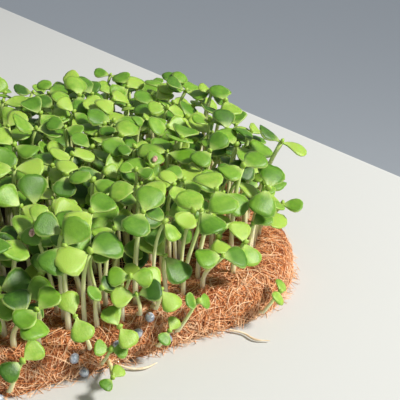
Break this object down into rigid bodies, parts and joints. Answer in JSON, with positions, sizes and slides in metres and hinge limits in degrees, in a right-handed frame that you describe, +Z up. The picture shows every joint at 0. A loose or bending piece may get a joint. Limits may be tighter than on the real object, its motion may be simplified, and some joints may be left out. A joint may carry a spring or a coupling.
{
  "type": "microgreens mat",
  "caption": "Slab of basil microgreens: pairs of rounded seed leaves on pale stems, standing on a felted coconut-fibre mat with rounded corners.",
  "frame": {"origin": "centre of the mat's underside, on the surface it lies on", "axes": "+X along the mat's long side, +Y across it towards the back, +Z up towards the leaves"},
  "size_m": [0.1973, 0.1452, 0.051],
  "materials": {
    "coir": "felted coconut fibre, rough and matt",
    "seedling_green": "satin seed leaf on a pale stem",
    "seed_gel": "wet gel coat round a dark seed",
    "pale_root": "matt cream root"
  },
  "bodies": {
    "root": {"coir_mat": "coir", "clump_r1_c1": "seedling_green", "clump_r1_c2": "seedling_green", "clump_r1_c3": "seedling_green", "clump_r1_c4": "seedling_green", "clump_r1_c5": "seedling_green", "clump_r1_c6": "seedling_green", "clump_r1_c7": "seedling_green", "clump_r1_c8": "seedling_green", "clump_r2_c1": "seedling_green", "clump_r2_c2": "seedling_green", "clump_r2_c3": "seedling_green", "clump_r2_c4": "seedling_green", "clump_r2_c5": "seedling_green", "clump_r2_c6": "seedling_green", "clump_r2_c7": "seedling_green", "clump_r2_c8": "seedling_green", "clump_r3_c1": "seedling_green", "clump_r3_c2": "seedling_green", "clump_r3_c3": "seedling_green", "clump_r3_c4": "seedling_green", "clump_r3_c5": "seedling_green", "clump_r3_c6": "seedling_green", "clump_r3_c7": "seedling_green", "clump_r3_c8": "seedling_green", "clump_r4_c1": "seedling_green", "clump_r4_c2": "seedling_green", "clump_r4_c3": "seedling_green", "clump_r4_c4": "seedling_green", "clump_r4_c5": "seedling_green", "clump_r4_c6": "seedling_green", "clump_r4_c7": "seedling_green", "clump_r4_c8": "seedling_green", "clump_r5_c1": "seedling_green", "clump_r5_c2": "seedling_green", "clump_r5_c3": "seedling_green", "clump_r5_c4": "seedling_green", "clump_r5_c5": "seedling_green", "clump_r5_c6": "seedling_green", "clump_r5_c7": "seedling_green", "clump_r5_c8": "seedling_green", "edge_seedling_1": "seedling_green", "edge_seedling_2": "seedling_green", "edge_seedling_3": "seedling_green", "edge_seedling_4": "seedling_green", "edge_seedling_5": "seedling_green", "edge_seedling_6": "seedling_green", "edge_seedling_7": "seedling_green", "edge_seedling_8": "seedling_green", "edge_seedling_9": "seedling_green", "edge_seedling_10": "seedling_green", "gel_seed_1": "seed_gel", "gel_seed_2": "seed_gel", "gel_seed_3": "seed_gel", "gel_seed_4": "seed_gel", "gel_seed_5": "seed_gel", "gel_seed_6": "seed_gel", "gel_seed_7": "seed_gel", "root_1": "pale_root", "root_2": "pale_root"}
  },
  "joints": []
}
